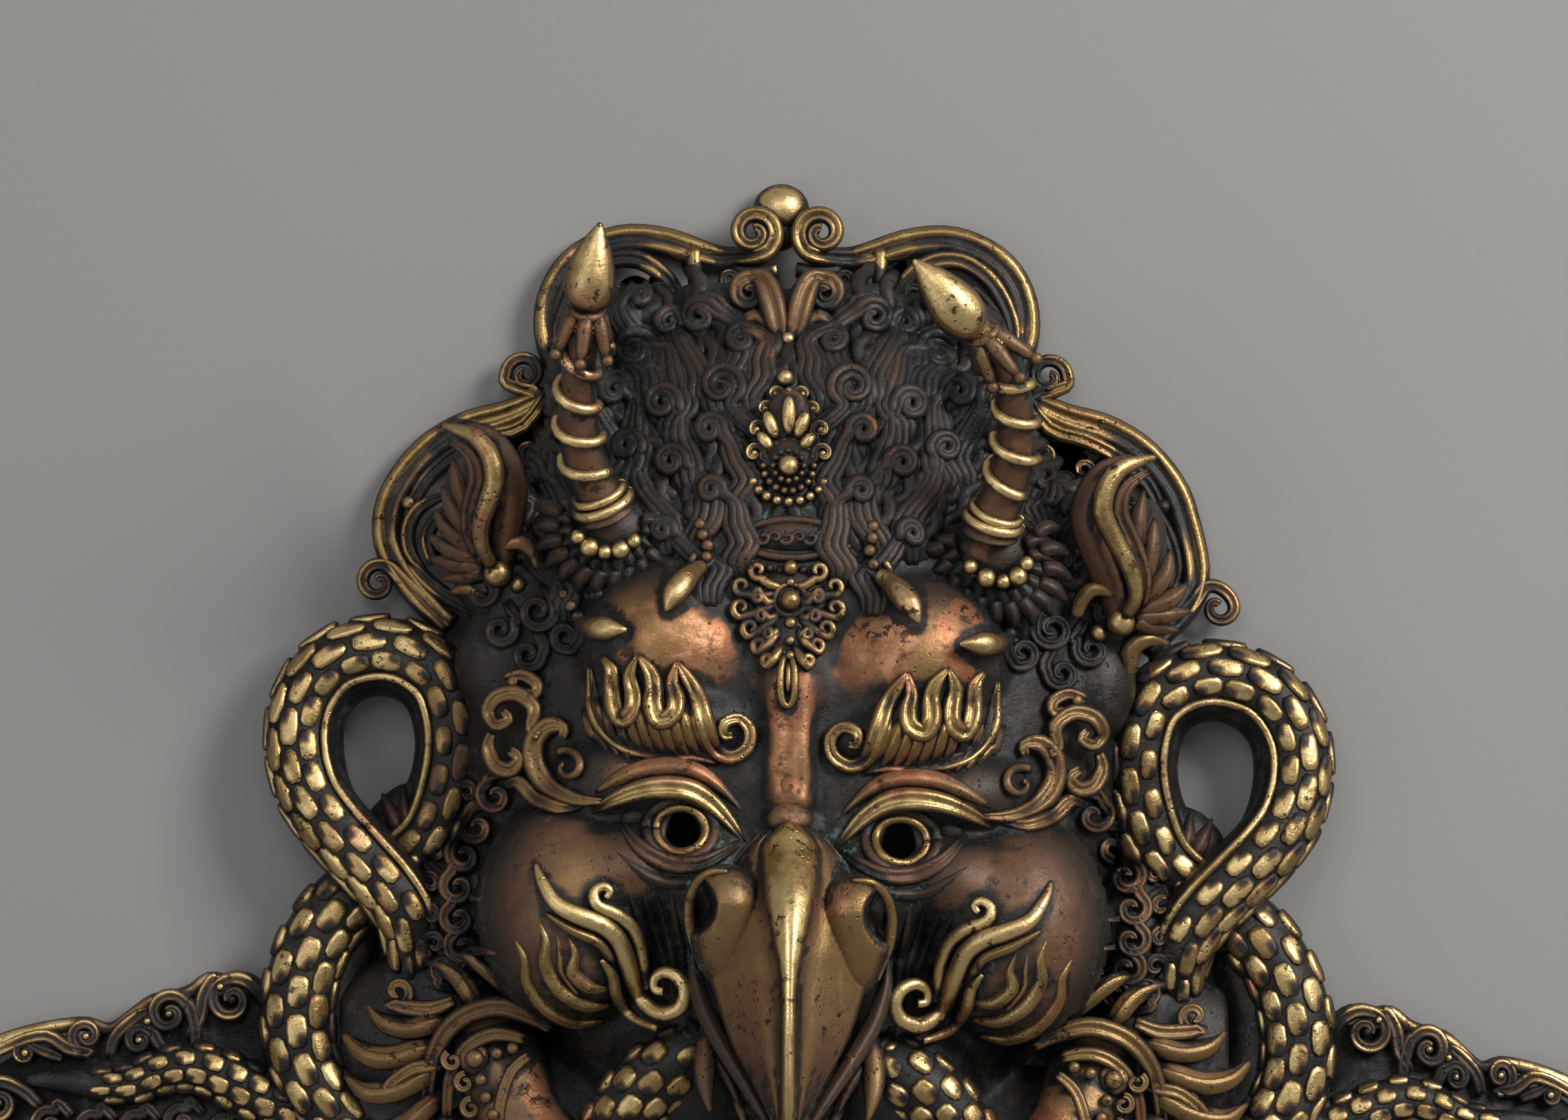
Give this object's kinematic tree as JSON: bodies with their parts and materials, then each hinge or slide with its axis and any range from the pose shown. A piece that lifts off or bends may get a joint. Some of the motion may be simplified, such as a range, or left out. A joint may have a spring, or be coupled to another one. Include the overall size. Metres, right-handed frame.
{
  "type": "garuda mask",
  "caption": "Cast copper-alloy garuda mask with a hooked beak, horns, looping scaled serpents and scrollwork, hollow behind, lying on its back.",
  "frame": {"origin": "middle of the overall box, on the plane that the back rests on", "axes": "+X to the mask's right edge as seen from the front, +Y to the crown, +Z out of the face"},
  "size_m": [0.5336, 0.4039, 0.1166],
  "materials": {
    "worn_bronze": "dark patina worn to brass on the raised parts",
    "gilt_horn": "worn gilding over dark hollows"
  },
  "bodies": {
    "root": {"mask": "worn_bronze", "horn_left": "gilt_horn", "horn_right": "gilt_horn"}
  },
  "joints": []
}
